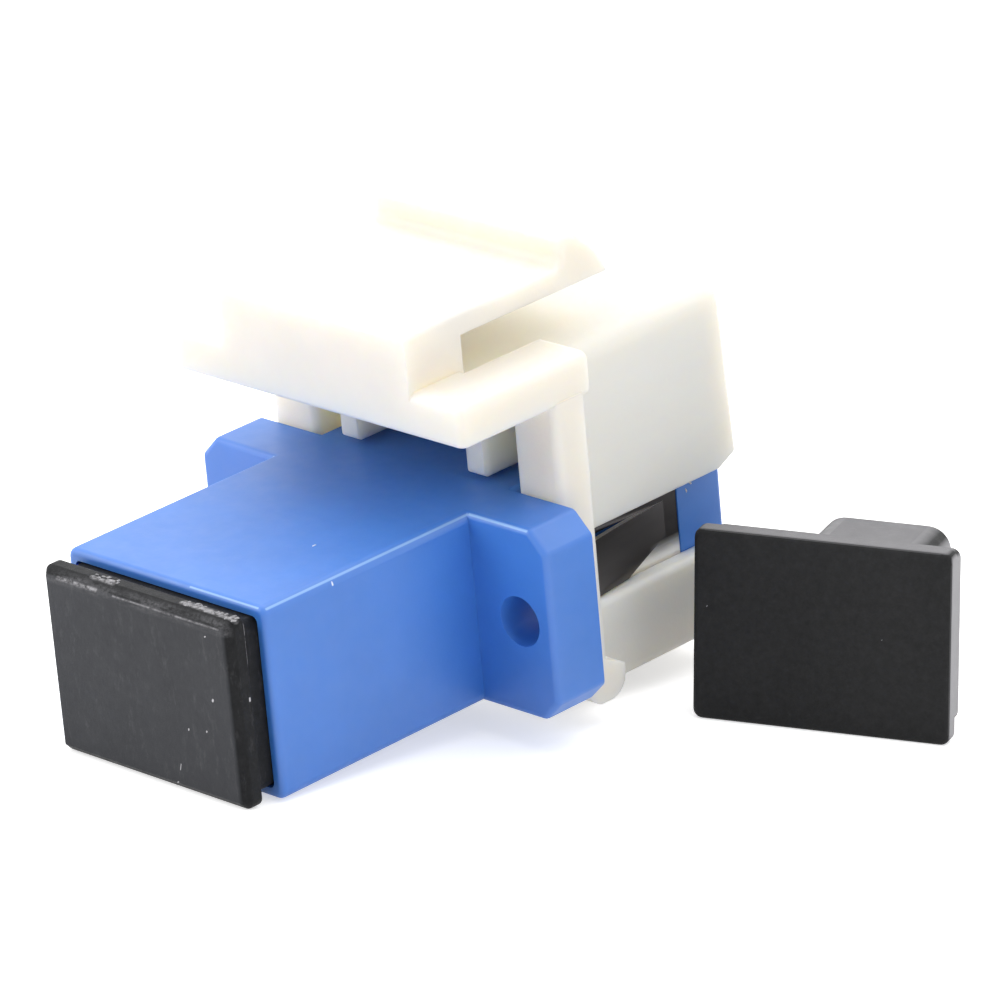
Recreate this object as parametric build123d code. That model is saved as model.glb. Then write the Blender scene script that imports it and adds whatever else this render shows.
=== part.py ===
"""Keystone fibre coupler: a square-plug optical coupler held in a white snap-in frame.

Frame of the part, in millimetres: the fibre axis is Y, with the plain port (the one
that stays in the wall box) at -Y and the frame's nose (the wall plate side) at +Y.
+Z is up, towards the release latch. The origin is the middle of the split sleeve.
"""
import os

from build123d import *

# Coupler shells
BODY_W = 12.6
BODY_H = 9.2
BODY_L = 28.8
BODY_CORNER = 0.45
MOUTH_RIM = 0.5
MOUTH_DEPTH = 2.2
PORT_W = 9.2
PORT_H = 7.5
PORT_CORNER = 0.3
KEY_W = 2.5
KEY_DEPTH = 0.5
KEY_L = 6.5
FLANGE_T = 3.05
EAR_CHAMFER = 1.0
EAR_CORNER = 0.4
EAR_SOFT = 0.3
PARTING_EDGE = 0.1
FLANGE_BACK = -1.75
EAR_PITCH = 18.0
EAR_HOLE_D = 2.4
EAR_END = 2.0
RIM_SOFT = 0.3

# Inserts that hold the sleeve and grip the plugs
WEB_T = 1.75
WEB_W = 10.6
WEB_H = 8.1
WEB_CORNER = 0.4
FIT_GAP = 0.04
SLEEVE_BORE_D = 2.5
SLEEVE_OD = 3.2
SLEEVE_L = 11.4
SLEEVE_SLIT = 0.5
HOLDER_GAP = 0.04
HOLDER_WALL = 0.25
HOLDER_LIP = 0.5
HOOK_X = 3.5
HOOK_T = 0.75
HOOK_H = 3.4
HOOK_L = 7.4
HOOK_CATCH = 0.3
HOOK_CATCH_L = 1.3

# Spring clip round the front shell
CLIP_T = 0.25
CLIP_RECESS = 0.3
CLIP_L = 10.1
CLIP_RISE = 7.6
CLIP_BEND = 0.5
LEAF_LOW = -1.95
LEAF_HIGH = 0.8
LEAF_ROOT = 9.25
LEAF_SPREAD = 0.95
LEAF_BOW = 0.42
LEAF_TIP_GAP = 0.1
LEAF_TAPER = 1.05
LEAF_TAPER_L = 2.9

# White frame
BODY_GAP = 0.1
NOSE_WALL = 0.85
NOSE_BOTTOM = -6.15
NOSE_TOP = 10.4
NOSE_OVER = 0.25
NOSE_RAKE = 0.45
NOSE_TOP_R = 0.9
NOSE_LOW_R = 0.45
NOSE_END_R = 0.3
NOSE_ROOF = 1.0
NOSE_FACE = 1.0
SLOT_LOW = -2.0
SLOT_HIGH = 1.65
SLOT_FLARE = 0.6
SLOT_FLARE_L = 1.3
SLOT_SOFT = 0.35
LEG_OUT = 9.2
LEG_T = 1.85
LEG_BOTTOM = -5.66
FOOT_TOP = -4.2
FOOT_OUT = 1.2
FOOT_R = 1.05
FOOT_HEEL = 1.2
HEEL_R = 0.9
LEG_SOFT = 0.4
RAIL_IN = 6.0
RAIL_OUT = 9.15
RAIL_LOW = 9.1
RAIL_T = 2.0
RAIL_AHEAD = 2.6
BAR_BEHIND = 4.35
BAR_L = 3.45
DECK_TOP_R = 0.45
DECK_LOW_R = 0.2
DECK_CORNER = 0.45
RIB_SOFT = 0.25
RIB_X = 3.5
RIB_W = 1.03
RIB_GAP = 0.25
RIB_BEHIND = 0.8
LIP_W = 6.5
LIP_L = 1.9
LIP_DROP = 1.85
LIP_SLOPE = 0.5

# Release latch
ARM_W = 12.0
ARM_T = 1.0
ARM_UNDER = 12.73
ARM_TOP_R = 0.25
CATCH_BACK = 6.65
CATCH_H = 1.41
CATCH_L = 2.75
CATCH_TIP_DROP = 0.85
CATCH_CREST = 0.6
CATCH_BOW = 0.2
CATCH_CREST_R = 0.35
CATCH_ROOT_R = 0.5

# Dust caps
CAP_W = 12.05
CAP_H = 9.0
CAP_T = 1.0
CAP_CORNER = 0.45
CAP_BEVEL = 0.4
LOOSE_CAP_BEVEL = 0.15
NECK_GAP = 0.06
NECK_SHOW = 0.95
NECK_SEAT = 0.6
NECK_WALL = 0.9
BOSS_W = 6.1
BOSS_H = 4.7
BOSS_WALL = 0.35
BOSS_CORNER = 1.1
BOSS_L = 9.4

# The cap that is taken off stands to the right of the coupler, on the same table
LOOSE_X = 16.62
LOOSE_Y = 8.85
LOOSE_TURN = 25.0

# Places that follow from the sizes
REAR = -BODY_L / 2
FRONT = BODY_L / 2
FLANGE_FRONT = FLANGE_BACK + FLANGE_T
FLANGE_W = EAR_PITCH + 2 * EAR_END
CAP_FACE = REAR - NECK_SHOW - CAP_T
CLIP_END = FLANGE_FRONT + CLIP_L
CLIP_TOP = CLIP_RISE - BODY_H / 2
FRAME_INNER = BODY_W / 2 + BODY_GAP
NOSE_W = 2 * (FRAME_INNER + NOSE_WALL)
LEG_FRONT = FLANGE_FRONT + LEG_T
NOSE_FRONT = FRONT + NOSE_OVER
RAIL_FRONT = FLANGE_FRONT + RAIL_AHEAD
BAR_BACK = -BAR_BEHIND
BAR_FRONT = BAR_BACK + BAR_L
ARM_TOP = ARM_UNDER + ARM_T
CATCH_BACK_Y = BAR_FRONT + CATCH_BACK
HOLDER_R = SLEEVE_OD / 2 + HOLDER_GAP
LIP_BOTTOM = NOSE_BOTTOM - LIP_DROP
LIP_BACK = NOSE_FRONT - LIP_L


def block(x, y, z):
    """A box between the two values of each of x, y and z."""
    size = Box(x[1] - x[0], y[1] - y[0], z[1] - z[0])
    return Pos((x[0] + x[1]) / 2, (y[0] + y[1]) / 2, (z[0] + z[1]) / 2) * size


def along_y(section, y0, y1):
    """An X-Z section carried along Y from y0 to y1."""
    start = Plane((0, y1, 0), x_dir=(1, 0, 0), z_dir=(0, -1, 0))
    return extrude(start * section, y1 - y0)


def across_x(section, x0, x1):
    """A Y-Z section carried along X from x0 to x1."""
    return extrude(Plane((x0, 0, 0), x_dir=(0, 1, 0), z_dir=(1, 0, 0)) * section, x1 - x0)


def rounded(width, height, radius):
    """A rounded rectangle about the fibre axis."""
    return RectangleRounded(width, height, radius)


def both_sides(solid):
    """The solid and its mirror image on the other side of the fibre axis."""
    return solid + mirror(solid, Plane.YZ)


def edges_at(solid, face_y):
    """The edges of the end face at face_y."""
    return solid.edges().filter_by_position(Axis.Y, face_y - 0.01, face_y + 0.01)


def softened(solid, face_y, radius):
    """The solid with the edges of its end face at face_y rounded."""
    return fillet(edges_at(solid, face_y), radius)


# Shells of the coupler

def port_cavity(mouth, inward, reach):
    """The hollow of one port: the square plug's way in and its key groove."""
    deep = sorted((mouth, reach))
    hollow = along_y(rounded(PORT_W, PORT_H, PORT_CORNER), *deep)
    key = sorted((mouth, mouth + inward * KEY_L))
    low = -PORT_H / 2 - KEY_DEPTH
    return hollow + block((-KEY_W / 2, KEY_W / 2), key, (low, 0))


def insert_pocket(y0, y1):
    """The room for the inserts' webs in the middle of the body."""
    return along_y(rounded(WEB_W + 2 * FIT_GAP, WEB_H + 2 * FIT_GAP, WEB_CORNER), y0, y1)


def make_rear_shell():
    """The plain half of the body, with the flange and its two ears."""
    body = softened(along_y(rounded(BODY_W, BODY_H, BODY_CORNER), REAR, FLANGE_FRONT), REAR, RIM_SOFT)
    outline = chamfer(Rectangle(FLANGE_W, BODY_H).vertices(), EAR_CHAMFER)
    outline = fillet(outline.vertices(), EAR_CORNER)
    flange = softened(along_y(outline, FLANGE_BACK, FLANGE_FRONT), FLANGE_BACK, EAR_SOFT)
    flange = chamfer(edges_at(flange, FLANGE_FRONT), PARTING_EDGE)
    for side in (-1, 1):
        hole = Pos(side * EAR_PITCH / 2, 0) * Circle(EAR_HOLE_D / 2)
        flange -= along_y(hole, FLANGE_BACK, FLANGE_FRONT)
    mouth = rounded(BODY_W - 2 * MOUTH_RIM, BODY_H - 2 * MOUTH_RIM, PORT_CORNER)
    shell = body + flange
    shell -= along_y(mouth, REAR, REAR + MOUTH_DEPTH)
    shell -= port_cavity(REAR, 1, FLANGE_FRONT)
    return shell - insert_pocket(-WEB_T, FLANGE_FRONT)


def make_front_shell():
    """The half of the body inside the frame, with a shallow seat for the spring clip."""
    body = along_y(rounded(BODY_W, BODY_H, BODY_CORNER), FLANGE_FRONT, FRONT)
    body = softened(body, FRONT, RIM_SOFT)
    waist = rounded(BODY_W - 2 * CLIP_RECESS, BODY_H - 2 * CLIP_RECESS, BODY_CORNER)
    seat = rounded(BODY_W, BODY_H, BODY_CORNER) - waist
    seat -= Pos(0, CLIP_TOP + FIT_GAP + BODY_H) * Rectangle(2 * BODY_W, 2 * BODY_H)
    body -= along_y(seat, FLANGE_FRONT, CLIP_END + FIT_GAP)
    body -= port_cavity(FRONT, -1, FLANGE_FRONT)
    return body - insert_pocket(FLANGE_FRONT, WEB_T)


# Inserts and sleeve

def make_insert():
    """One insert, for the +Y side: web, half of the sleeve's tube and two gripping hooks."""
    web = along_y(rounded(WEB_W, WEB_H, WEB_CORNER), 0, WEB_T)
    tube_end = SLEEVE_L / 2 + FIT_GAP + HOLDER_LIP
    insert = web + along_y(Circle(HOLDER_R + HOLDER_WALL), 0, tube_end)
    insert -= along_y(Circle(HOLDER_R), 0, SLEEVE_L / 2 + FIT_GAP)
    insert -= along_y(Circle((SLEEVE_BORE_D + SLEEVE_OD) / 4), 0, tube_end)
    insert = insert.solid()
    tip = WEB_T + HOOK_L
    arm_out = HOOK_X + HOOK_T
    hook = Polyline(
        (HOOK_X, WEB_T - FIT_GAP),
        (arm_out, WEB_T - FIT_GAP),
        (arm_out, tip - HOOK_T),
        (HOOK_X + HOOK_CATCH, tip),
        (HOOK_X, tip),
        (HOOK_X - HOOK_CATCH, tip - HOOK_CATCH_L / 2),
        (HOOK_X - HOOK_CATCH, tip - HOOK_CATCH_L),
        (HOOK_X, tip - HOOK_CATCH_L - HOOK_CATCH),
        close=True,
    )
    arm = extrude(Pos(0, 0, -HOOK_H / 2) * make_face(hook), HOOK_H)
    return insert + both_sides(arm)


def make_split_sleeve():
    """The ceramic sleeve that lines the two ferrules up, slit along its top."""
    ring = Circle(SLEEVE_OD / 2) - Circle(SLEEVE_BORE_D / 2)
    sleeve = along_y(ring, -SLEEVE_L / 2, SLEEVE_L / 2)
    slit = block((-SLEEVE_SLIT / 2, SLEEVE_SLIT / 2), (-SLEEVE_L / 2, SLEEVE_L / 2), (0, SLEEVE_OD))
    return (sleeve - slit).solid()


# Spring clip

def make_spring_clip():
    """A folded strip under the front shell, with one leaf sprung out of each side."""
    out_w = BODY_W - 2 * (CLIP_RECESS - CLIP_T)
    out_h = BODY_H - 2 * (CLIP_RECESS - CLIP_T)
    strip = rounded(out_w, out_h, CLIP_BEND) - rounded(out_w - 2 * CLIP_T, out_h - 2 * CLIP_T, CLIP_BEND - CLIP_T)
    strip -= Pos(0, CLIP_TOP + BODY_H) * Rectangle(2 * BODY_W, 2 * BODY_H)
    clip = along_y(strip, FLANGE_FRONT, CLIP_END)
    face = out_w / 2
    clip -= both_sides(across_x(leaf_outline(), face - 2 * CLIP_T, BODY_W))
    return clip + both_sides(make_leaf(face))


def leaf_outline():
    """The leaf seen from its side, narrowing where it leaves the clip."""
    root = FLANGE_FRONT + LEAF_ROOT
    tip = LEG_FRONT + LEAF_TIP_GAP
    outline = Polyline(
        (tip, LEAF_LOW),
        (root - LEAF_TAPER_L, LEAF_LOW),
        (root, LEAF_LOW + LEAF_TAPER),
        (root, LEAF_HIGH),
        (tip, LEAF_HIGH),
        close=True,
    )
    return make_face(outline)


def make_leaf(face):
    """One leaf, bowed outwards in plan from the clip's side to the back of the frame's leg."""
    root = FLANGE_FRONT + LEAF_ROOT
    tip = LEG_FRONT + LEAF_TIP_GAP
    reach = face + LEAF_SPREAD
    middle = (tip + root) / 2
    middle_x = face + LEAF_SPREAD * LEAF_BOW
    outer = ThreePointArc((face, root), (middle_x, middle), (reach, tip))
    inner = ThreePointArc((reach - CLIP_T, tip), (middle_x - CLIP_T, middle), (face - CLIP_T, root))
    ends = Line((reach, tip), (reach - CLIP_T, tip)) + Line((face - CLIP_T, root), (face, root))
    strip = extrude(Pos(0, 0, LEAF_LOW) * make_face(outer + inner + ends), LEAF_HIGH - LEAF_LOW)
    return strip & across_x(leaf_outline(), face - 2 * CLIP_T, BODY_W)


# White frame

def nose_shell():
    """The hollow nose: rounded along its top, open behind, with the slots for the leaves."""
    height = NOSE_TOP - NOSE_BOTTOM
    middle = (NOSE_TOP + NOSE_BOTTOM) / 2
    outline = Pos(0, middle) * Rectangle(NOSE_W, height)
    top = outline.vertices().filter_by_position(Axis.Y, NOSE_TOP - 0.01, NOSE_TOP + 0.01)
    outline = fillet(top, NOSE_TOP_R)
    low = outline.vertices().filter_by_position(Axis.Y, NOSE_BOTTOM - 0.01, NOSE_BOTTOM + 0.01)
    outline = fillet(low, NOSE_LOW_R)
    nose = along_y(outline, LEG_FRONT, NOSE_FRONT)
    rake = Polyline(
        (NOSE_FRONT, SLOT_HIGH),
        (NOSE_FRONT + NOSE_RAKE, SLOT_HIGH),
        (NOSE_FRONT + NOSE_RAKE, NOSE_TOP),
        (NOSE_FRONT - NOSE_RAKE, NOSE_TOP),
        close=True,
    )
    nose -= across_x(make_face(rake), -NOSE_W, NOSE_W)
    end = nose.edges().filter_by_position(Axis.Y, NOSE_FRONT - NOSE_RAKE - 0.01, NOSE_FRONT + 0.01)
    nose = fillet(end.filter_by(lambda e: e.center().Z > SLOT_HIGH or e.center().Z < SLOT_LOW), NOSE_END_R)
    inner = (-FRAME_INNER, FRAME_INNER)
    floor = -BODY_H / 2 - BODY_GAP
    nose -= block(inner, (LEG_FRONT, NOSE_FRONT), (floor, BODY_H / 2 + BODY_GAP))
    nose -= block(inner, (LEG_FRONT, NOSE_FRONT - NOSE_FACE), (0, NOSE_TOP - NOSE_ROOF))
    nose -= both_sides(leaf_slot())
    sill = nose.edges().filter_by(Axis.Y).filter_by_position(Axis.Z, SLOT_LOW - 0.01, SLOT_LOW + 0.01)
    return fillet(sill.filter_by(lambda e: abs(e.center().X) > FRAME_INNER + 0.01), SLOT_SOFT)


def leaf_slot():
    """The side slot, open to the front end, its upper edge flared there."""
    outline = Polyline(
        (LEG_FRONT, SLOT_LOW),
        (NOSE_FRONT, SLOT_LOW),
        (NOSE_FRONT, SLOT_HIGH + SLOT_FLARE),
        (NOSE_FRONT - SLOT_FLARE_L, SLOT_HIGH),
        (LEG_FRONT, SLOT_HIGH),
        close=True,
    )
    return across_x(make_face(outline), 0, NOSE_W)


def leg():
    """The right leg, which seats on the flange's ear, its foot a rounded toe turned forward."""
    foot_front = LEG_FRONT + FOOT_OUT
    outline = Polyline(
        (FLANGE_FRONT, LEG_BOTTOM + FOOT_HEEL),
        (FLANGE_FRONT + FOOT_HEEL, LEG_BOTTOM),
        (foot_front, LEG_BOTTOM),
        (foot_front, FOOT_TOP),
        (LEG_FRONT, FOOT_TOP + FOOT_OUT / 2),
        (LEG_FRONT, RAIL_LOW + DECK_LOW_R),
        (FLANGE_FRONT, RAIL_LOW + DECK_LOW_R),
        close=True,
    )
    face = make_face(outline)
    toe = face.vertices().sort_by_distance((foot_front, LEG_BOTTOM, 0))[0]
    face = fillet(toe, FOOT_R)
    heel = face.vertices().sort_by_distance((FLANGE_FRONT + FOOT_HEEL, LEG_BOTTOM, 0))[0]
    face = fillet(heel, HEEL_R)
    post = across_x(face, FRAME_INNER, LEG_OUT)
    back = post.edges().filter_by(Axis.Z).filter_by_position(Axis.Y, FLANGE_FRONT - 0.01, FLANGE_FRONT + 0.01)
    return fillet(back, LEG_SOFT)


def rails_and_bar():
    """The two side rails joined behind by the crossbar, one flat U seen from above."""
    plan = Polyline(
        (-RAIL_OUT, BAR_BACK),
        (RAIL_OUT, BAR_BACK),
        (RAIL_OUT, RAIL_FRONT),
        (RAIL_IN, RAIL_FRONT),
        (RAIL_IN, BAR_FRONT),
        (-RAIL_IN, BAR_FRONT),
        (-RAIL_IN, RAIL_FRONT),
        (-RAIL_OUT, RAIL_FRONT),
        close=True,
    )
    face = make_face(plan)
    outer = face.vertices().filter_by(lambda v: abs(v.X) > RAIL_IN + 0.01)
    face = fillet(outer, DECK_CORNER)
    deck = extrude(Pos(0, 0, RAIL_LOW) * face, RAIL_T)
    deck = fillet(deck.faces().sort_by(Axis.Z)[-1].outer_wire().edges(), DECK_TOP_R)
    low = deck.edges().filter_by(Axis.Y).filter_by_position(Axis.Z, RAIL_LOW - 0.01, RAIL_LOW + 0.01)
    return fillet(low.filter_by(lambda e: abs(e.center().X) > RAIL_IN + 0.01), DECK_LOW_R)


def latch_block():
    """The raised block on the crossbar that the latch arm grows from."""
    raised = block((-ARM_W / 2, ARM_W / 2), (BAR_BACK, BAR_FRONT), (RAIL_LOW + DECK_LOW_R, ARM_TOP))
    sides = raised.edges().filter_by(Axis.Y).sort_by(Axis.Z)[-2:]
    back = raised.edges().filter_by(Axis.X).sort_by(Axis.Y)[:2].sort_by(Axis.Z)[-1:]
    return fillet(sides + back, ARM_TOP_R)


def guide_rib():
    """One of the two ribs under the nose's roof that bear down on the coupler's body."""
    low = BODY_H / 2 + RIB_GAP
    back = FLANGE_FRONT + RIB_BEHIND - LEG_T / 2
    roof = NOSE_TOP - NOSE_ROOF
    rib = block((RIB_X, RIB_X + RIB_W), (back, NOSE_FRONT - NOSE_FACE), (low, roof))
    heel = rib.edges().filter_by(Axis.X).sort_by_distance((RIB_X, back, low))[0]
    return fillet(heel, RIB_SOFT)


def bottom_lip():
    """The fixed lip under the nose's front edge that hooks below the wall plate's window."""
    outline = Polyline(
        (LIP_BACK - LIP_SLOPE, NOSE_BOTTOM + NOSE_LOW_R),
        (LIP_BACK - LIP_SLOPE, NOSE_BOTTOM),
        (LIP_BACK, LIP_BOTTOM),
        (NOSE_FRONT - NOSE_END_R, LIP_BOTTOM),
        (NOSE_FRONT - NOSE_END_R, NOSE_BOTTOM + NOSE_LOW_R),
        close=True,
    )
    face = make_face(outline)
    corner = face.vertices().sort_by_distance((NOSE_FRONT, LIP_BOTTOM, 0))[0]
    face = fillet(corner, NOSE_END_R)
    return across_x(face, -LIP_W / 2, LIP_W / 2)


def make_keystone_frame():
    """The snap-in frame: legs, rails, crossbar and block, nose, ribs and lip in one moulding."""
    frame = nose_shell() + both_sides(leg()) + rails_and_bar() + latch_block()
    roof = block((-RAIL_IN, RAIL_IN), (BAR_FRONT, LEG_FRONT), (NOSE_TOP - NOSE_ROOF, NOSE_TOP))
    frame += roof + both_sides(guide_rib()) + bottom_lip()
    return frame.solid()


def make_latch_arm():
    """The springy arm over the nose, with its catch; it ends free above the nose."""
    catch_top = ARM_TOP + CATCH_H
    crest = (CATCH_BACK_Y + CATCH_CREST, catch_top)
    tip = (CATCH_BACK_Y + CATCH_L, ARM_TOP - CATCH_TIP_DROP)
    middle = ((crest[0] + tip[0]) / 2 + CATCH_BOW, (crest[1] + tip[1]) / 2 + CATCH_BOW)
    ramp = ThreePointArc(crest, middle, tip)
    edges = Polyline(
        tip,
        (tip[0], ARM_UNDER),
        (BAR_FRONT, ARM_UNDER),
        (BAR_FRONT, ARM_TOP),
        (CATCH_BACK_Y, ARM_TOP),
        (CATCH_BACK_Y, catch_top),
        crest,
    )
    face = make_face(edges + ramp)
    for corner, radius in (((CATCH_BACK_Y, ARM_TOP), CATCH_ROOT_R), ((CATCH_BACK_Y, catch_top), CATCH_CREST_R)):
        face = fillet(face.vertices().sort_by_distance((*corner, 0))[0], radius)
    arm = across_x(face, -ARM_W / 2, ARM_W / 2)
    ends = arm.faces().filter_by(Axis.X).edges()
    above = ends.filter_by(lambda e: e.center().Z > ARM_UNDER + ARM_TOP_R and e.center().Y > BAR_FRONT + 0.01)
    return fillet(above, ARM_TOP_R)


# Dust caps

def make_cap(bevel):
    """A cap by itself: front face on the plane y = 0, its plug towards +Y, its foot on z = 0."""
    plate = along_y(rounded(CAP_W, CAP_H, CAP_CORNER), 0, CAP_T)
    plate = chamfer(edges_at(plate, 0), bevel)
    neck_w = BODY_W - 2 * MOUTH_RIM - 2 * NECK_GAP
    neck_h = BODY_H - 2 * MOUTH_RIM - 2 * NECK_GAP
    neck_end = CAP_T + NECK_SHOW + NECK_SEAT
    neck = rounded(neck_w, neck_h, CAP_CORNER)
    neck_hollow = rounded(neck_w - 2 * NECK_WALL, neck_h - 2 * NECK_WALL, CAP_CORNER)
    cap = plate + along_y(neck, CAP_T, neck_end)
    cap -= along_y(neck_hollow, CAP_T, neck_end)
    boss_end = CAP_T + BOSS_L
    boss = rounded(BOSS_W, BOSS_H, BOSS_CORNER)
    boss_hollow = rounded(BOSS_W - 2 * BOSS_WALL, BOSS_H - 2 * BOSS_WALL, BOSS_CORNER - BOSS_WALL)
    cap += along_y(boss, CAP_T, boss_end)
    cap -= along_y(boss_hollow, CAP_T, boss_end)
    return Pos(0, 0, CAP_H / 2) * cap.solid()


def make_rear_dust_cap():
    """The cap that stays pushed into the plain port."""
    return Pos(0, CAP_FACE, -CAP_H / 2) * make_cap(CAP_BEVEL)


def make_front_dust_cap():
    """The cap that is taken off, standing upright on the table the coupler leans on.

    The table touches the fitted cap's lower edge and the lip under the nose.
    """
    foot_y = CAP_FACE + CAP_BEVEL
    slope = (-CAP_H / 2 - LIP_BOTTOM) / (LIP_BACK - foot_y)
    table = Plane((0, foot_y, -CAP_H / 2), x_dir=(1, 0, 0), z_dir=(0, slope, 1))
    place = table.from_local_coords((LOOSE_X, (LOOSE_Y - foot_y) * (1 + slope**2) ** 0.5, 0))
    spot = Plane(place, x_dir=table.x_dir, z_dir=table.z_dir)
    return spot.location * Rot(0, 0, LOOSE_TURN) * make_cap(LOOSE_CAP_BEVEL)


def main():
    """Write one STEP file for each piece."""
    os.makedirs("parts", exist_ok=True)
    pieces = {
        "keystone_frame": make_keystone_frame(),
        "latch_arm": make_latch_arm(),
        "rear_shell": make_rear_shell(),
        "front_shell": make_front_shell(),
        "spring_clip": make_spring_clip(),
        "front_insert": make_insert(),
        "rear_insert": mirror(make_insert(), Plane.XZ),
        "split_sleeve": make_split_sleeve(),
        "rear_dust_cap": make_rear_dust_cap(),
        "front_dust_cap": make_front_dust_cap(),
    }
    for name, piece in pieces.items():
        export_step(piece, f"parts/{name}.step")


main()
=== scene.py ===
"""Dresses the keystone fibre coupler: its finishes, small moulding marks, table, lamps and camera.

Everything is in metres in the coupler's own frame: the fibre axis is Y, the nose points
to +Y and the release latch is on top. The coupler leans: its table is not level in this
frame, so the table's slope is worked out from the two places that the coupler stands on.
"""
import math

import bmesh
import bpy
import numpy as np
from mathutils import Matrix, Vector


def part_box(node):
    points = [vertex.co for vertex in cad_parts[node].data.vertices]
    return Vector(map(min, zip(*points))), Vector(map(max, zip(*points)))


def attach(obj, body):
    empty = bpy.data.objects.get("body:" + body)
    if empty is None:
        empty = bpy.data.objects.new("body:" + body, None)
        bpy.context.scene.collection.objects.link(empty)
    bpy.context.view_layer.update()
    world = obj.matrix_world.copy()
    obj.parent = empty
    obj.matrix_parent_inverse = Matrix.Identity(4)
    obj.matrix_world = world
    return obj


bl_info = {
    "name": "Keystone Fibre Coupler",
    "version": (1, 0, 0),
    "blender": (4, 5, 0),
    "location": "View3D > Sidebar > Coupler",
    "description": "Finishes, table, lamps and camera for a keystone fibre coupler",
    "category": "Object",
}

MM = 0.001
RIGHT_WAY = (1.0, 0.0, 0.0)
NOSE_WAY = (0.0, 1.0, 0.0)
UP_WAY = (0.0, 0.0, 1.0)

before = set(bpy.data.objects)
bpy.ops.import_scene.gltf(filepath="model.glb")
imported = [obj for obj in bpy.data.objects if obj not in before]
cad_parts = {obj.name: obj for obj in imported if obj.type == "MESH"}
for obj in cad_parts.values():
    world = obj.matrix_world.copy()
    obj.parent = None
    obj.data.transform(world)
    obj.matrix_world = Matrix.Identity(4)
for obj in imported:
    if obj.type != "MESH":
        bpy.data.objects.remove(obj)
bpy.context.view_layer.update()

# Where the coupler touches the table: the fitted cap's lower edge and the lip under the nose
CAP_BEVEL = 0.4 * MM
LIP_LENGTH = 1.9 * MM

# The photograph's camera
EYE = Vector((230.86, -214.75, 132.20)) * MM
AIM = Vector((4.705, 1.824, 3.591)) * MM
LENS = 272.2
SENSOR = 36.0

# Lamps: name, place in millimetres, side in metres and the setting that holds the power
LAMPS = (
    ("top lamp", (60.0, 160.0, 430.0), 0.60, "top_lamp"),
    ("front lamp", (-270.0, -290.0, 290.0), 0.38, "front_lamp"),
    ("right lamp", (420.0, 60.0, 170.0), 0.34, "right_lamp"),
    ("back lamp", (-300.0, 280.0, 190.0), 0.56, "back_lamp"),
)
LAMP_UP = (0.02, 1.0, 0.03)

# Plain colours of the stage, and how much the table glows to the camera
WHITE = (1.0, 1.0, 1.0, 1.0)
TABLE_GREY = (0.86, 0.86, 0.86, 1.0)
TABLE_GLOW = 0.55

# Marks in millimetres: two ends and a half width
FITTED_CAP_SPECKS = (
    ((4.57, -16.35, 0.55), (4.60, -16.35, 0.61), 0.07),
    ((2.79, -16.35, -1.28), (2.81, -16.35, -1.22), 0.045),
    ((3.96, -16.35, -1.08), (3.98, -16.35, -1.04), 0.045),
    ((4.50, -16.35, 3.58), (4.54, -16.35, 3.61), 0.04),
    ((1.96, -16.35, -3.40), (2.04, -16.35, -3.10), 0.025),
    ((1.62, -16.35, -4.14), (1.74, -16.35, -4.04), 0.04),
    ((6.02, -15.48, 0.60), (6.02, -15.48, 0.72), 0.06),
)
FITTED_CAP_TEARS = (
    ((-4.9, -16.3, 4.12), (-2.4, -16.3, 4.12), 0.12),
    ((-3.0, -15.9, 4.50), (-1.6, -15.9, 4.50), 0.16),
    ((-1.3, -16.3, 4.10), (5.4, -16.3, 4.10), 0.06),
    ((2.6, -15.66, 4.50), (5.9, -15.7, 4.50), 0.24),
    ((6.02, -15.36, 4.2), (6.02, -15.36, 2.2), 0.06),
)
LOOSE_CAP_SPECKS = (
    ((11.76, 7.25, -1.92), (11.78, 7.27, -1.88), 0.032),
    ((19.19, 10.61, -3.03), (19.21, 10.62, -3.00), 0.020),
)
LOOSE_CAP_TEARS = (
    ((17.2, 10.2, 1.44), (22.1, 12.5, 1.30), 0.10),
)
CAP_FACE_Y = -16.35 * MM

# The way that the loose cap's right side looks, and how much more painted sheen it has than the dust
# and sheen on its top
LOOSE_CAP_RIGHT = (0.89, 0.456, 0.0)
SIDE_SHEEN = 1.8

# Painted highlights: bright lines along the rounded edges of the blue body, its right ear and its mouth
PAINTED_EDGE_HIGHLIGHTS = (
    ((6.168, -14.10, 4.468), (6.168, -1.62, 4.468), 0.080),
    ((-6.168, -14.10, 4.468), (-6.168, -1.62, 4.468), 0.080),
    ((6.30, -1.662, 4.512), (9.83, -1.662, 4.512), 0.085),
    ((1.60, -14.312, 4.512), (5.85, -14.312, 4.512), 0.060),
)
BODY_SPECKS = (((6.28, -10.22, 4.36), (6.29, -10.22, 4.22), 0.06),)

# A brown speck at the left end of the crossbar
SCORCH_BROWN = (0.42, 0.22, 0.07, 1.0)
FRAME_SCORCH = (((-9.15, -4.40, 10.10), (-9.15, -4.46, 10.02), 0.16),)

# Where the latch grows from the block on the crossbar
LATCH_ROOT = (0.0, -0.9 * MM, 12.73 * MM)

# How far off a wall a hollow is found, and the heights over which a painted glow makes the white
# lighter in it
HOLLOW_REACH = 5.0 * MM
HOLLOW_HEIGHTS = (-4.0 * MM, 3.0 * MM)

# The flat sides of the spring clip, and the height below which they are painted bright for the
# reflection of the white wall below them
CLIP_SIDE = 6.25 * MM
CLIP_REFLECTION_TOP = -1.0 * MM

# Slivers of torn or flashed plastic: place in millimetres, length, width and turn in degrees
CAP_TORN_RUNS = ((-2.9, -1.4, 9), (2.5, 5.9, 30))
CAP_TORN_Y = (-15.85, -15.45)
CAP_TOP_Z = 4.5
NOSE_SLIVERS = (
    ((6.31, 11.95, 1.25), 0.42, 0.10, 75.0),
    ((6.31, 12.35, 1.05), 0.30, 0.09, 100.0),
    ((6.31, 12.05, 0.80), 0.26, 0.08, 60.0),
)
BODY_CRUMBS = (
    ((3.10, -8.19, 4.60), 0.30, 0.10, 35.0),
)

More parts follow.
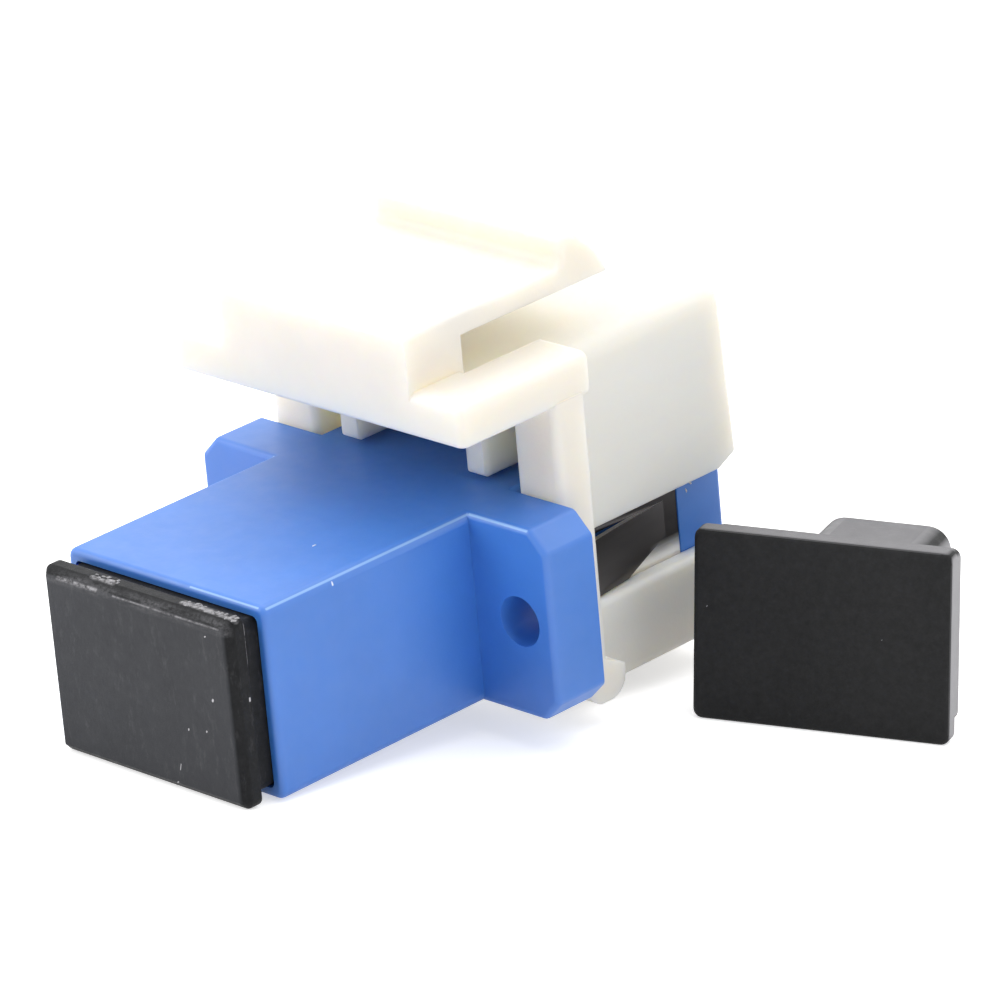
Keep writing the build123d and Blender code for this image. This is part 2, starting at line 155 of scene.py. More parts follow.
# A sliver's corners, how far they reach out and up, and its narrower top and sunk underside
SLIVER_SIDES = 9
SLIVER_REACH = (0.65, 1.15)
SLIVER_RISE = (0.02, 0.05)
SLIVER_TOP = 0.55
SLIVER_SUNK = -0.01

# Edge work on the CAD pieces: facets this flat are joined, edges this sharp are rounded
FLAT_ANGLE = 0.3
SHARP_ANGLE = 35.0


# What a user would change

class CouplerFinishes(bpy.types.PropertyGroup):
    """Colours and surface sizes of the coupler's materials."""

    white: bpy.props.FloatVectorProperty(
        name="Frame white", description="Colour of the snap-in frame and its latch",
        subtype="COLOR", size=3, min=0.0, max=1.0, default=(0.765, 0.732, 0.675),
    )
    # Painted glow: a lighter, warmer white painted into deep gaps, standing in for light that passes
    # through the thin walls
    painted_hollow_glow: bpy.props.FloatVectorProperty(
        name="White in hollows", description="Colour that light through the thin walls gives deep gaps",
        subtype="COLOR", size=3, min=0.0, max=1.0, default=(0.99, 0.905, 0.76),
    )
    blue: bpy.props.FloatVectorProperty(
        name="Shell blue", description="Colour of the coupler's body",
        subtype="COLOR", size=3, min=0.0, max=1.0, default=(0.034, 0.172, 0.575),
    )
    # Painted highlight: the bright lines along the body's rounded edges stand in for the gloss that
    # lamps leave on them
    painted_edge_highlight: bpy.props.FloatVectorProperty(
        name="Shell edges", description="Colour of the bright lines along the body's edges",
        subtype="COLOR", size=3, min=0.0, max=1.0, default=(0.20, 0.39, 0.72),
    )
    pale_crumb: bpy.props.FloatVectorProperty(
        name="Pale crumbs", description="Colour of the crumbs on the coupler's body",
        subtype="COLOR", size=3, min=0.0, max=1.0, default=(0.72, 0.76, 0.84),
    )
    worn_black: bpy.props.FloatVectorProperty(
        name="Fitted cap", description="Colour of the dust cap in the port, greyed by handling",
        subtype="COLOR", size=3, min=0.0, max=1.0, default=(0.010, 0.0104, 0.0115),
    )
    handled_black: bpy.props.FloatVectorProperty(
        name="Fitted cap's face", description="Colour that handling has left on the fitted cap's face",
        subtype="COLOR", size=3, min=0.0, max=1.0, default=(0.043, 0.0445, 0.050),
    )
    black: bpy.props.FloatVectorProperty(
        name="Loose cap", description="Colour of the dust cap that is taken off",
        subtype="COLOR", size=3, min=0.0, max=1.0, default=(0.017, 0.0172, 0.0177),
    )
    scuff: bpy.props.FloatVectorProperty(
        name="Scuff grey", description="Colour of rubbed edges on the dust caps",
        subtype="COLOR", size=3, min=0.0, max=1.0, default=(0.33, 0.325, 0.34),
    )
    rubbed: bpy.props.FloatVectorProperty(
        name="Rubbed grey", description="Colour of the fitted cap's rubbed bevels",
        subtype="COLOR", size=3, min=0.0, max=1.0, default=(0.105, 0.105, 0.112),
    )
    # Painted reflection: the clip is given this bright steel where it mirrors the white plastic around
    # it and the light above
    steel: bpy.props.FloatVectorProperty(
        name="Clip steel", description="Colour of the spring clip where it is rubbed bright",
        subtype="COLOR", size=3, min=0.0, max=1.0, default=(0.88, 0.88, 0.88),
    )
    tempered: bpy.props.FloatVectorProperty(
        name="Tempered film", description="Colour of the dark film that tempering leaves on the clip",
        subtype="COLOR", size=3, min=0.0, max=1.0, default=(0.118, 0.112, 0.114),
    )
    ceramic: bpy.props.FloatVectorProperty(
        name="Sleeve ceramic", description="Colour of the split sleeve",
        subtype="COLOR", size=3, min=0.0, max=1.0, default=(0.86, 0.84, 0.78),
    )
    edge_round: bpy.props.FloatProperty(
        name="Edge rounding", description="Radius of the moulded parts' sharp edges",
        subtype="DISTANCE", unit="LENGTH", min=0.0, max=0.0005, default=0.00012,
    )
    scuffing: bpy.props.FloatProperty(
        name="Scuffing", description="How much of the caps' edges is rubbed pale",
        subtype="FACTOR", min=0.0, max=1.0, default=0.55,
    )


class CouplerStage(bpy.types.PropertyGroup):
    """Sizes and levels of the table and the lamps."""

    table_size: bpy.props.FloatProperty(
        name="Table size", description="Length of the table's side",
        subtype="DISTANCE", unit="LENGTH", min=0.1, max=10.0, default=3.0,
    )
    top_lamp: bpy.props.FloatProperty(
        name="Top lamp", description="Power of the large lamp overhead",
        subtype="POWER", unit="POWER", min=0.0, max=100.0, default=1.9,
    )
    front_lamp: bpy.props.FloatProperty(
        name="Front lamp", description="Power of the lamp on the capped port's side",
        subtype="POWER", unit="POWER", min=0.0, max=100.0, default=1.7,
    )
    right_lamp: bpy.props.FloatProperty(
        name="Right lamp", description="Power of the lamp on the ear's side",
        subtype="POWER", unit="POWER", min=0.0, max=100.0, default=0.45,
    )
    back_lamp: bpy.props.FloatProperty(
        name="Back lamp", description="Power of the lamp behind, which shines on the flat tops",
        subtype="POWER", unit="POWER", min=0.0, max=100.0, default=1.0,
    )
    sky: bpy.props.FloatProperty(
        name="Room light", description="Strength of the even light from all round",
        min=0.0, max=2.0, default=0.47,
    )


def finishes():
    """The scene's finish settings."""
    return bpy.context.scene.coupler_finishes


def stage_settings():
    """The scene's stage settings."""
    return bpy.context.scene.coupler_stage


# Materials

def background_rays(tree):
    """1 for rays that show the white background: the camera's and those in gloss or through glass."""
    path = tree.nodes.new("ShaderNodeLightPath")
    seen = path.outputs["Is Camera Ray"]
    for kind in ("Is Glossy Ray", "Is Transmission Ray"):
        either = tree.nodes.new("ShaderNodeMath")
        either.operation = "MAXIMUM"
        tree.links.new(seen, either.inputs[0])
        tree.links.new(path.outputs[kind], either.inputs[1])
        seen = either.outputs[0]
    return seen


class Shader:
    """A material's node tree with short calls for the nodes used here."""

    def __init__(self, name):
        self.material = bpy.data.materials.new(name)
        self.material.use_nodes = True
        self.nodes = self.material.node_tree.nodes
        self.links = self.material.node_tree.links
        self.surface = self.nodes["Principled BSDF"]
        self.place = self.add("ShaderNodeTexCoord").outputs["Object"]
        self.normal = None

    def add(self, kind, **values):
        """A node of this kind with its properties set."""
        node = self.nodes.new(kind)
        for key, value in values.items():
            setattr(node, key, value)
        return node

    def wire(self, value, socket):
        """Links an output to a socket, or sets the socket's own number or colour."""
        if isinstance(value, bpy.types.NodeSocket):
            self.links.new(value, socket)
        else:
            socket.default_value = value

    def noise(self, scale, detail=4.0, roughness=0.55, stretch=None, turn=0.0):
        """Noise in the object's own space, stretched along its axes and turned about Y where asked."""
        node = self.add("ShaderNodeTexNoise")
        place = self.place
        if stretch:
            mapping = self.add("ShaderNodeMapping")
            mapping.inputs["Scale"].default_value = stretch
            mapping.inputs["Rotation"].default_value = (0.0, math.radians(turn), 0.0)
            self.links.new(place, mapping.inputs["Vector"])
            place = mapping.outputs["Vector"]
        self.links.new(place, node.inputs["Vector"])
        node.inputs["Scale"].default_value = scale
        node.inputs["Detail"].default_value = detail
        node.inputs["Roughness"].default_value = roughness
        return node.outputs["Fac"]

    def varied(self, scale, low, high, detail=4.0):
        """A value that wanders between two numbers over the surface."""
        return self.between(self.noise(scale, detail), 0.3, 0.7, low, high)

    def between(self, value, low, high, to_low=0.0, to_high=1.0):
        """The value spread from low..high over to_low..to_high, and clamped."""
        node = self.add("ShaderNodeMapRange")
        self.wire(value, node.inputs["Value"])
        ends = {"From Min": low, "From Max": high, "To Min": to_low, "To Max": to_high}
        for key, number in ends.items():
            node.inputs[key].default_value = number
        return node.outputs["Result"]

    def maths(self, operation, first, second):
        """One step of arithmetic."""
        node = self.add("ShaderNodeMath", operation=operation)
        self.wire(first, node.inputs[0])
        self.wire(second, node.inputs[1])
        return node.outputs[0]

    def mixed(self, factor, first, second):
        """A colour between two colours."""
        node = self.add("ShaderNodeMix", data_type="RGBA")
        self.wire(factor, node.inputs["Factor"])
        self.wire(first, node.inputs[6])
        self.wire(second, node.inputs[7])
        return node.outputs[2]

    def edges(self, radius, low=0.985, high=0.90):
        """Near 1 where the surface turns a sharp edge, 0 on open faces."""
        bevel = self.add("ShaderNodeBevel", samples=6)
        bevel.inputs["Radius"].default_value = radius
        geometry = self.add("ShaderNodeNewGeometry")
        dot = self.add("ShaderNodeVectorMath", operation="DOT_PRODUCT")
        self.links.new(bevel.outputs["Normal"], dot.inputs[0])
        self.links.new(geometry.outputs["Normal"], dot.inputs[1])
        return self.between(dot.outputs["Value"], low, high)

    def hollows(self, reach, low, high):
        """1 deep in gaps and hollows, 0 on open faces."""
        node = self.add("ShaderNodeAmbientOcclusion", samples=12)
        node.inputs["Distance"].default_value = reach
        return self.between(node.outputs["AO"], high, low)

    def along(self, direction):
        """How far a place lies along a direction, in the object's own space."""
        node = self.add("ShaderNodeVectorMath", operation="DOT_PRODUCT")
        self.links.new(self.place, node.inputs[0])
        node.inputs[1].default_value = direction
        return node.outputs["Value"]

    def strokes(self, marks):
        """1 on short marks and 0 off them; each has its two ends and its half width in millimetres."""
        total = 0.0
        for start, end, width in marks:
            start, end, width = Vector(start) * MM, Vector(end) * MM, width * MM
            run = (end - start).normalized()
            length = (end - start).length
            along = self.along(run)
            ahead = self.between(along, run.dot(start), run.dot(start) + length, 0.0, length)
            nearest = self.add("ShaderNodeVectorMath", operation="MULTIPLY_ADD")
            nearest.inputs[0].default_value = run
            self.wire(ahead, nearest.inputs[1])
            nearest.inputs[2].default_value = start
            away = self.add("ShaderNodeVectorMath", operation="DISTANCE")
            self.links.new(self.place, away.inputs[0])
            self.links.new(nearest.outputs["Vector"], away.inputs[1])
            mark = self.between(away.outputs["Value"], width, width * 0.4)
            total = self.maths("MAXIMUM", mark, total)
        return total

    def off_seam(self, seam, near, far):
        """0 by a seam that doesn't show, 1 from this far off it or well below it."""
        away = self.maths("ABSOLUTE", self.maths("SUBTRACT", self.along(NOSE_WAY), seam[1]), 0.0)
        clear = self.between(away, near, far)
        below = self.between(self.along(UP_WAY), seam[2], seam[2] - near)
        return self.maths("MAXIMUM", clear, below)

    def soften(self, radius, shown):
        """Shades sharp edges as rounded where the mask shows them."""
        bevel = self.add("ShaderNodeBevel", samples=6)
        bevel.inputs["Radius"].default_value = radius
        mix = self.add("ShaderNodeMix", data_type="VECTOR")
        self.wire(shown, mix.inputs["Factor"])
        self.links.new(self.add("ShaderNodeNewGeometry").outputs["Normal"], mix.inputs[4])
        self.links.new(bevel.outputs["Normal"], mix.inputs[5])
        self.normal = mix.outputs[1]

    def facing(self, direction, low, high):
        """1 on faces that look along a direction, 0 on those that look away from it."""
        node = self.add("ShaderNodeVectorMath", operation="DOT_PRODUCT")
        self.links.new(self.add("ShaderNodeNewGeometry").outputs["Normal"], node.inputs[0])
        node.inputs[1].default_value = direction
        return self.between(node.outputs["Value"], low, high)

    def bump(self, height, distance):
        """Raises the surface by the height pattern times the distance."""
        node = self.add("ShaderNodeBump")
        if self.normal:
            self.links.new(self.normal, node.inputs["Normal"])
        node.inputs["Distance"].default_value = distance
        self.links.new(height, node.inputs["Height"])
        self.links.new(node.outputs["Normal"], self.surface.inputs["Normal"])

    def set(self, **values):
        """Sets the surface's own sockets, whose names are written with underscores."""
        for key, value in values.items():
            self.wire(value, self.surface.inputs[key.replace("_", " ")])


def rgba(colour):
    """A colour with full alpha."""
    return (*colour, 1.0)


def tinted(colour, factor):
    """A colour made lighter or darker by a factor."""
    return (*(min(1.0, part * factor) for part in colour), 1.0)


def white_plastic(name):
    """White moulded plastic: a little light passes into it; a glow painted into its deep hollows, faint
    flow marks and one scorched speck.
    """
    shader = Shader(name)
    white = finishes().white
    flow = shader.between(shader.noise(260.0, 3.0, stretch=(1.0, 0.35, 1.0)), 0.35, 0.7)
    colour = shader.mixed(flow, tinted(white, 0.975), tinted(white, 1.02))
    # Painted glow: the white is painted lighter and warmer deep in hollows, in place of light that
    # passes through the thin walls
    above = shader.between(shader.along(UP_WAY), *HOLLOW_HEIGHTS)
    painted_glow_mask = shader.maths("MULTIPLY", shader.hollows(HOLLOW_REACH, 0.35, 0.70), above)
    colour = shader.mixed(painted_glow_mask, colour, rgba(finishes().painted_hollow_glow))
    colour = shader.mixed(shader.strokes(FRAME_SCORCH), colour, SCORCH_BROWN)
    clear_of_seam = shader.off_seam(LATCH_ROOT, 0.2 * MM, 3.2 * MM)
    radius = finishes().edge_round
    shader.soften(radius, shader.off_seam(LATCH_ROOT, radius * 1.5, radius * 2.5))
    shader.set(
        Base_Color=colour,
        Roughness=shader.varied(1400.0, 0.38, 0.48, 3.0),
        Subsurface_Weight=shader.maths("MULTIPLY", clear_of_seam, 0.85),
        Subsurface_Radius=(1.0, 0.80, 0.52),
        Subsurface_Scale=2.6 * MM,
        Specular_IOR_Level=0.45,
    )
    shader.bump(shader.noise(5200.0, 4.0), 0.006 * MM)
    return shader.material


def blue_plastic(name):
    """Blue moulded plastic, satin; light passes a little way into its edges, and highlights are painted
    along its rounded edges.
    """
    shader = Shader(name)
    blue = finishes().blue
    cloud = shader.between(shader.noise(180.0, 4.0), 0.3, 0.75)
    colour = shader.mixed(cloud, tinted(blue, 0.94), tinted(blue, 1.08))
    # Painted highlights along the rounded edges, in place of the gloss that lamps leave on them
    colour = shader.mixed(shader.strokes(PAINTED_EDGE_HIGHLIGHTS), colour, rgba(finishes().painted_edge_highlight))
    colour = shader.mixed(shader.strokes(BODY_SPECKS), colour, rgba(finishes().pale_crumb))
    shader.set(
        Base_Color=colour,
        Roughness=shader.varied(1100.0, 0.45, 0.53, 3.0),
        Subsurface_Weight=0.3,
        Subsurface_Radius=(0.25, 0.5, 1.0),
        Subsurface_Scale=0.6 * MM,
        Specular_IOR_Level=0.9,
    )
    shader.bump(shader.noise(6400.0, 3.0), 0.004 * MM)
    return shader.material


def black_plastic(name, black, face, pale, scratching, dust, specks, tears):
    """Soft black plastic with a fine matt grain, faint scratches, specks and torn, rubbed edges.

    Its face turns to the second colour, which is what handling leaves on it, and the
    third is the colour of its specks and tears. What faces up is lightened by dust and a
    painted sheen, and what faces the loose cap's right by a painted sheen.
    """
    shader = Shader(name)
    settings = finishes()
    depth = shader.along(NOSE_WAY)
    front = shader.between(depth, CAP_FACE_Y + 0.1 * MM, CAP_FACE_Y + 0.02 * MM)
    colour = shader.mixed(front, rgba(black), rgba(face))
    cloud = shader.between(shader.noise(220.0, 4.0), 0.3, 0.75)
    colour = shader.mixed(cloud, colour, shader.mixed(0.2, colour, (0.0, 0.0, 0.0, 1.0)))
    mottle = shader.between(shader.noise(2400.0, 8.0, 0.8), 0.35, 0.75, 0.0, 0.22)
    colour = shader.mixed(mottle, colour, shader.mixed(0.5, colour, rgba(settings.rubbed)))
    scratches = shader.noise(2600.0, 6.0, 0.8, stretch=(1.0, 1.0, 0.32), turn=28.0)
    scratches = shader.between(scratches, 0.54, 0.84, 0.0, scratching)
    colour = shader.mixed(scratches, colour, rgba(settings.scuff))
    fine = shader.between(shader.noise(5200.0, 5.0, 0.75), 0.30, 0.56)
    smears = shader.noise(1500.0, 6.0, 0.75, stretch=(0.25, 1.0, 1.0))
    top = shader.between(shader.along(UP_WAY), (CAP_TOP_Z - 0.75) * MM, (CAP_TOP_Z - 0.55) * MM)
    chamfer = shader.between(depth, CAP_FACE_Y + CAP_BEVEL, CAP_FACE_Y + CAP_BEVEL * 0.5)
    smeared = shader.between(smears, 0.40, 0.62)
    bevel = shader.maths("MULTIPLY", shader.maths("MULTIPLY", top, chamfer), smeared)
    patches = shader.between(shader.noise(850.0, 6.0, 0.7), 0.70 - 0.25 * settings.scuffing, 0.78)
    rubbed = shader.maths("MULTIPLY", shader.edges(0.22 * MM), patches)
    rubbed = shader.maths("MAXIMUM", rubbed, shader.maths("MULTIPLY", bevel, scratching * 6.0))
    colour = shader.mixed(shader.maths("MULTIPLY", rubbed, fine), colour, rgba(settings.rubbed))
    # Dust and a painted sheen lighten what faces up; a stronger painted sheen lightens the loose cap's
    # right side, which is seen at a grazing angle
    above = shader.maths("MULTIPLY", shader.facing((0.0, 0.12, 0.99), 0.8, 0.97), dust)
    side_sheen = shader.maths("MULTIPLY", shader.facing(LOOSE_CAP_RIGHT, 0.8, 0.97), dust * SIDE_SHEEN)
    dust_and_sheen_mask = shader.maths("MAXIMUM", above, side_sheen)
    colour = shader.mixed(dust_and_sheen_mask, colour, rgba(settings.scuff))
    ragged = shader.between(shader.noise(1700.0, 7.0, 0.8), 0.38, 0.50)
    torn = shader.maths("MULTIPLY", shader.strokes(tears), ragged)
    colour = shader.mixed(shader.maths("MULTIPLY", torn, fine), colour, rgba(pale))
    colour = shader.mixed(shader.strokes(specks), colour, tinted(pale, 1.6))
    shader.set(
        Base_Color=colour,
        Roughness=shader.varied(1500.0, 0.44, 0.56),
        Specular_IOR_Level=0.1,
    )
    grain = shader.noise(3300.0, 8.0, 0.75)
    height = shader.maths("ADD", grain, shader.maths("MULTIPLY", torn, 2.5))
    shader.bump(height, 0.022 * MM)
    return shader.material


def torn_plastic(name, colour):
    """The ragged, whitened plastic of a torn edge or a crumb."""
    shader = Shader(name)
    cloud = shader.varied(9000.0, 0.0, 1.0)
    shader.set(
        Base_Color=shader.mixed(cloud, tinted(colour, 0.7), tinted(colour, 1.2)),
        Roughness=0.6,
        Specular_IOR_Level=0.4,
    )
    shader.bump(shader.noise(12000.0, 4.0), 0.01 * MM)
    return shader.material


def clip_steel(name):
    """Rolled spring steel in a dark tempered film, with painted reflections: bright above and low on
    its sides.
    """
    shader = Shader(name)
    settings = finishes()
    lines = shader.noise(900.0, 5.0, 0.7, stretch=(1.0, 0.04, 1.0))
    streaks = shader.between(lines, 0.3, 0.7)
    film = shader.mixed(streaks, tinted(settings.tempered, 0.93), tinted(settings.tempered, 1.07))
    metal = shader.mixed(streaks, tinted(settings.steel, 0.9), tinted(settings.steel, 1.1))
    out = shader.maths("ABSOLUTE", shader.along(RIGHT_WAY), 0.0)
    flat_side = shader.between(out, CLIP_SIDE + 0.12 * MM, CLIP_SIDE + 0.04 * MM)
    low = shader.between(shader.along(UP_WAY), CLIP_REFLECTION_TOP, CLIP_REFLECTION_TOP - 0.3 * MM)
    upper = shader.facing(UP_WAY, 0.4, 0.7)
    # Painted reflection: bright steel where the clip faces up and low on its flat sides, where it
    # mirrors the white plastic; elsewhere the dark film is the clip's own finish
    bright = shader.maths("MAXIMUM", shader.maths("MULTIPLY", flat_side, low), upper)
    shader.set(
        Base_Color=shader.mixed(bright, film, metal),
        Metallic=1.0,
        Roughness=shader.between(lines, 0.3, 0.7, 0.28, 0.36),
    )
    shader.bump(lines, 0.0005 * MM)
    return shader.material


def sleeve_ceramic(name):
    """Polished ceramic."""
    shader = Shader(name)
    ceramic = finishes().ceramic
    cloud = shader.varied(900.0, 0.0, 1.0)
    shader.set(
        Base_Color=shader.mixed(cloud, tinted(ceramic, 0.97), tinted(ceramic, 1.0)),
        Roughness=shader.varied(2200.0, 0.10, 0.18),
        Specular_IOR_Level=0.7,
    )
    return shader.material


def dress(node, material):
    """Gives a carried-over piece its finish in every slot."""
    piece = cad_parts[node]
    slots = piece.data.materials
    if not slots:
        slots.append(material)
    for index in range(len(slots)):
        slots[index] = material
    return piece


def ease_edges(piece, radius):
    """Joins the loose facets, drops the flat seams and rounds the sharp edges of a piece."""
    weld = piece.modifiers.new("join facets", "WELD")
    weld.merge_threshold = 0.002 * MM
    flat = piece.modifiers.new("clear flats", "DECIMATE")
    flat.decimate_type = "DISSOLVE"
    flat.angle_limit = math.radians(FLAT_ANGLE)
    bevel = piece.modifiers.new("ease edges", "BEVEL")
    bevel.width = radius
    bevel.segments = 2
    bevel.limit_method = "ANGLE"
    bevel.angle_limit = math.radians(SHARP_ANGLE)
    bevel.use_clamp_overlap = True
    bevel.harden_normals = False


def sliver(bm, rng, place, normal, length, width, turn):
    """One thin ragged sliver lying on a surface, its underside a hair below it."""
    normal = Vector(normal)
    across = normal.orthogonal().normalized()
    along = Matrix.Rotation(math.radians(turn), 3, normal) @ across
    across = normal.cross(along)
    angles = np.linspace(0.0, 2.0 * math.pi, SLIVER_SIDES, endpoint=False)
    reach = rng.uniform(*SLIVER_REACH, SLIVER_SIDES)
    rise = rng.uniform(*SLIVER_RISE, SLIVER_SIDES)
    low, high = [], []
    for angle, far, height in zip(angles, reach, rise):
        out = along * (math.cos(angle) * far * length / 2)
        out += across * (math.sin(angle) * far * width / 2)
        low.append(bm.verts.new((Vector(place) + out + normal * SLIVER_SUNK) * MM))
        high.append(bm.verts.new((Vector(place) + out * SLIVER_TOP + normal * height) * MM))
    for index in range(SLIVER_SIDES):
        after = (index + 1) % SLIVER_SIDES
        bm.faces.new((low[index], low[after], high[after], high[index]))
    bm.faces.new(high)


def add_slivers(name, body, material, normal, spots, seed):
    """A piece of many slivers on one surface, which moves with a body."""
    rng = np.random.default_rng(seed)
    bm = bmesh.new()
    for place, length, width, turn in spots:
        sliver(bm, rng, place, normal, length, width, turn)
    mesh = bpy.data.meshes.new(name)
    bm.to_mesh(mesh)
    bm.free()
    mesh.materials.append(material)
    piece = bpy.data.objects.new(name, mesh)
    bpy.context.scene.collection.objects.link(piece)
    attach(piece, body)
    return piece


# Pieces

class COUPLER_OT_frame(bpy.types.Operator):
    """Finishes the snap-in frame and its release latch"""

    bl_idname = "coupler.frame"
    bl_label = "Frame and latch"

    def execute(self, context):
        material = white_plastic("white moulded plastic")
        for node in ("keystone_frame", "latch_arm"):
            dress(node, material)
        flash = torn_plastic("thin white flash", finishes().white)
        piece = add_slivers("nose_slivers", "coupler", flash, RIGHT_WAY, NOSE_SLIVERS, 3)
        return {"FINISHED"}


class COUPLER_OT_shells(bpy.types.Operator):
    """Finishes the two halves of the blue body and the inserts in them"""

    bl_idname = "coupler.shells"
    bl_label = "Shells and inserts"

    def execute(self, context):
        material = blue_plastic("blue moulded plastic")
        for node in ("rear_shell", "front_shell"):
            ease_edges(dress(node, material), finishes().edge_round)
        for node in ("front_insert", "rear_insert"):
            dress(node, material)
        pale = torn_plastic("pale crumbs", finishes().pale_crumb)
        piece = add_slivers("body_crumbs", "coupler", pale, UP_WAY, BODY_CRUMBS, 5)
        return {"FINISHED"}


class COUPLER_OT_clip(bpy.types.Operator):
    """Finishes the spring clip and the split sleeve"""

    bl_idname = "coupler.clip"
    bl_label = "Spring clip and sleeve"

    def execute(self, context):
        dress("spring_clip", clip_steel("rolled spring steel"))
        dress("split_sleeve", sleeve_ceramic("polished ceramic"))
        return {"FINISHED"}


class COUPLER_OT_caps(bpy.types.Operator):
    """Finishes the fitted dust cap and the one that is taken off"""

    bl_idname = "coupler.caps"
    bl_label = "Dust caps"

    def execute(self, context):
        settings = finishes()
        fitted = black_plastic(
            "scuffed black of the fitted cap",
            black=settings.worn_black,
            face=settings.handled_black,
            pale=settings.scuff,
            scratching=0.14,
            dust=0.0,
            specks=FITTED_CAP_SPECKS,
            tears=FITTED_CAP_TEARS,
        )
        loose = black_plastic(
            "black of the loose cap",
            black=settings.black,
            face=settings.black,
            pale=settings.rubbed,
            scratching=0.0,
            # Dust and a painted sheen on the loose cap's top and right side
            dust=0.5,
            specks=LOOSE_CAP_SPECKS,
            tears=LOOSE_CAP_TEARS,
        )
        for node, material in (("rear_dust_cap", fitted), ("front_dust_cap", loose)):
            ease_edges(dress(node, material), settings.edge_round)
        rng = np.random.default_rng(11)
        spots = []
        for start, end, count in CAP_TORN_RUNS:
            for x in np.linspace(start, end, count):
                place = (x + rng.uniform(-0.1, 0.1), rng.uniform(*CAP_TORN_Y), CAP_TOP_Z)
                length = rng.uniform(0.15, 0.40)
                width = rng.uniform(0.08, 0.22)
                turn = rng.uniform(-50.0, 50.0)
                spots.append((place, length, width, turn))
        grey = torn_plastic("torn rim of the fitted cap", settings.scuff)
        piece = add_slivers("cap_torn_rim", "rear_cap", grey, UP_WAY, spots, 12)
        return {"FINISHED"}


# Table, lamps and camera

def table_plane():
    """The point and the upward direction of the table that the coupler stands on."""
    cap_low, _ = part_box("rear_dust_cap")
    frame_low, frame_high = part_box("keystone_frame")
    heel_y = cap_low.y + CAP_BEVEL
    toe_y = frame_high.y - LIP_LENGTH
    slope = (cap_low.z - frame_low.z) / (toe_y - heel_y)
    heel = Vector((0.0, heel_y, cap_low.z))
    return heel, Vector((0.0, slope, 1.0)).normalized()


def turned_to(point, towards, up):
    """A turn that looks from a point towards another, with this direction upright."""
    back = (point - towards).normalized()
    right = up.cross(back).normalized()
    turn = Matrix((right, back.cross(right), back)).transposed()
    return Matrix.Translation(point) @ turn.to_4x4()


def table_material():
    """A pale table that shows as white to the camera and keeps the shadows."""
    shader = Shader("pale table")
    shader.set(Base_Color=TABLE_GREY, Roughness=0.9, Specular_IOR_Level=0.1)
    glow = shader.add("ShaderNodeEmission")
    glow.inputs["Strength"].default_value = TABLE_GLOW
    both = shader.add("ShaderNodeAddShader")
    shader.links.new(shader.surface.outputs[0], both.inputs[0])
    shader.links.new(glow.outputs[0], both.inputs[1])
    pick = shader.add("ShaderNodeMixShader")
    shader.links.new(background_rays(shader.material.node_tree), pick.inputs[0])
    shader.links.new(shader.surface.outputs[0], pick.inputs[1])
    shader.links.new(both.outputs[0], pick.inputs[2])
    shader.links.new(pick.outputs[0], shader.nodes["Material Output"].inputs["Surface"])
    return shader.material


def add_table():
    """The table: one large square in the plane that the coupler stands on."""
    heel, up = table_plane()
    side = stage_settings().table_size / 2
    across = Vector(RIGHT_WAY)
    along = up.cross(across)
    signs = ((-1, -1), (1, -1), (1, 1), (-1, 1))
    corners = [heel + across * side * a + along * side * b for a, b in signs]
    mesh = bpy.data.meshes.new("table")
    mesh.from_pydata([tuple(c) for c in corners], [], [(0, 1, 2, 3)])
    mesh.materials.append(table_material())
    table = bpy.data.objects.new("table", mesh)
    bpy.context.scene.collection.objects.link(table)


def add_lamp(name, place, size, power):
    """A square soft lamp at a place in millimetres, turned to the coupler."""
    light = bpy.data.lights.new(name, "AREA")
    light.size = size
    light.energy = power
    lamp = bpy.data.objects.new(name, light)
    lamp.matrix_world = turned_to(Vector(place) * MM, Vector(), Vector(LAMP_UP))
    bpy.context.scene.collection.objects.link(lamp)


def add_world():
    """Even room light; seen directly, in a gloss or through glass it is plain white."""
    world = bpy.data.worlds.new("room")
    bpy.context.scene.world = world
    world.use_nodes = True
    nodes = world.node_tree.nodes
    links = world.node_tree.links
    nodes.clear()
    room = nodes.new("ShaderNodeBackground")
    room.inputs["Color"].default_value = WHITE
    room.inputs["Strength"].default_value = stage_settings().sky
    white = nodes.new("ShaderNodeBackground")
    white.inputs["Color"].default_value = WHITE
    white.inputs["Strength"].default_value = 1.0
    pick = nodes.new("ShaderNodeMixShader")
    links.new(background_rays(world.node_tree), pick.inputs[0])
    links.new(room.outputs[0], pick.inputs[1])
    links.new(white.outputs[0], pick.inputs[2])
    out = nodes.new("ShaderNodeOutputWorld")
    links.new(pick.outputs[0], out.inputs["Surface"])


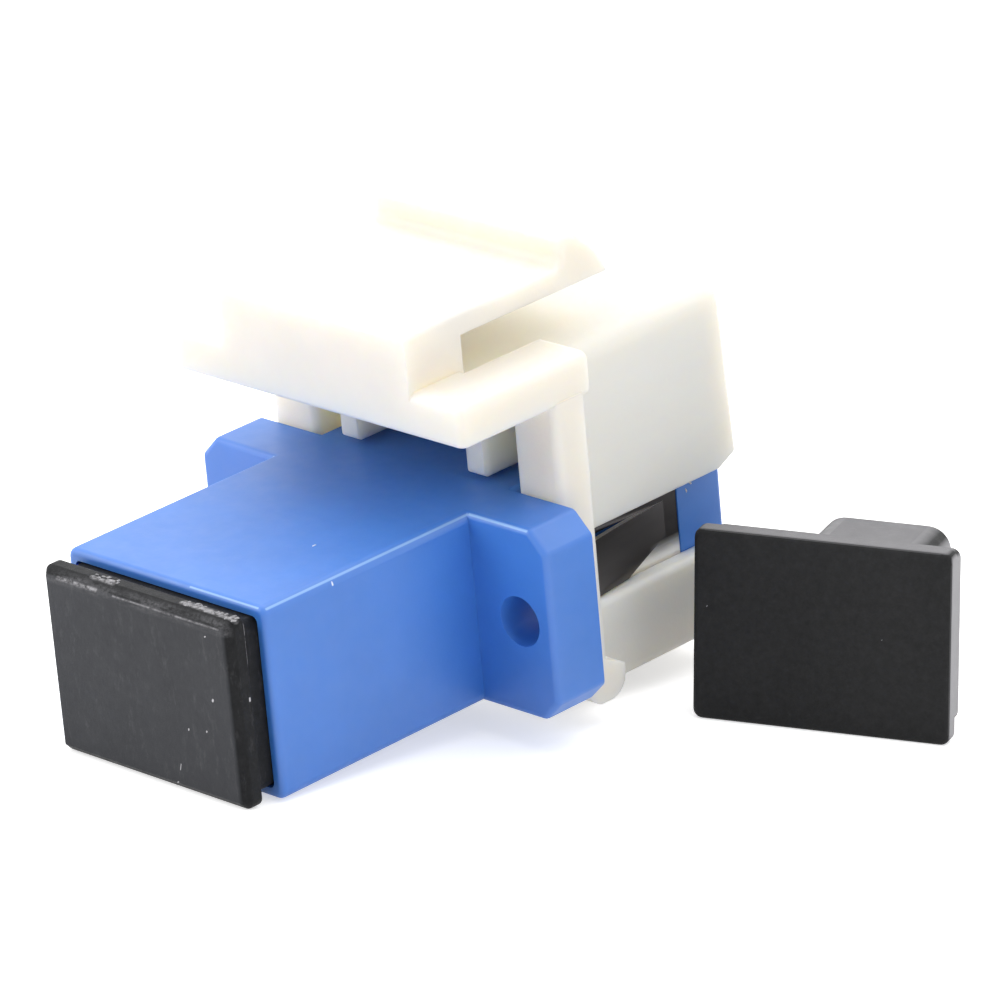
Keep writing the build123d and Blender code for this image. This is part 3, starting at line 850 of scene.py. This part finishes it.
def add_camera():
    """The camera at the photograph's angle, upright above the table."""
    data = bpy.data.cameras.new("camera")
    data.sensor_width = SENSOR
    data.lens = LENS
    data.clip_start = 0.01
    camera = bpy.data.objects.new("camera", data)
    _, up = table_plane()
    camera.matrix_world = turned_to(EYE, AIM, up)
    bpy.context.scene.collection.objects.link(camera)
    bpy.context.scene.camera = camera


class COUPLER_OT_stage(bpy.types.Operator):
    """Sets the table, the lamps, the room light and the camera"""

    bl_idname = "coupler.stage"
    bl_label = "Table, lamps and camera"

    def execute(self, context):
        context.scene.view_settings.view_transform = "Standard"
        settings = stage_settings()
        add_table()
        for name, place, size, power in LAMPS:
            add_lamp(name, place, size, getattr(settings, power))
        add_world()
        add_camera()
        return {"FINISHED"}


class COUPLER_PT_panel(bpy.types.Panel):
    """Lists the coupler's pieces and settings"""

    bl_idname = "COUPLER_PT_panel"
    bl_label = "Fibre coupler"
    bl_space_type = "VIEW_3D"
    bl_region_type = "UI"
    bl_category = "Coupler"

    def draw(self, context):
        layout = self.layout
        for operator in OPERATORS:
            layout.operator(operator.bl_idname)
        for settings in (context.scene.coupler_finishes, context.scene.coupler_stage):
            box = layout.box()
            for name in settings.bl_rna.properties.keys():
                if name not in ("rna_type", "name"):
                    box.prop(settings, name)


OPERATORS = (COUPLER_OT_frame, COUPLER_OT_shells, COUPLER_OT_clip, COUPLER_OT_caps, COUPLER_OT_stage)
CLASSES = (CouplerFinishes, CouplerStage, *OPERATORS, COUPLER_PT_panel)


def register():
    """Adds the classes and the scene's settings."""
    for item in CLASSES:
        bpy.utils.register_class(item)
    bpy.types.Scene.coupler_finishes = bpy.props.PointerProperty(type=CouplerFinishes)
    bpy.types.Scene.coupler_stage = bpy.props.PointerProperty(type=CouplerStage)


def unregister():
    """Takes them away again."""
    del bpy.types.Scene.coupler_stage
    del bpy.types.Scene.coupler_finishes
    for item in reversed(CLASSES):
        bpy.utils.unregister_class(item)


def main():
    """Dresses the coupler piece by piece, then sets the stage."""
    register()
    for operator in OPERATORS:
        category, name = operator.bl_idname.split(".")
        getattr(getattr(bpy.ops, category), name)()


if __name__ == "__main__":
    main()
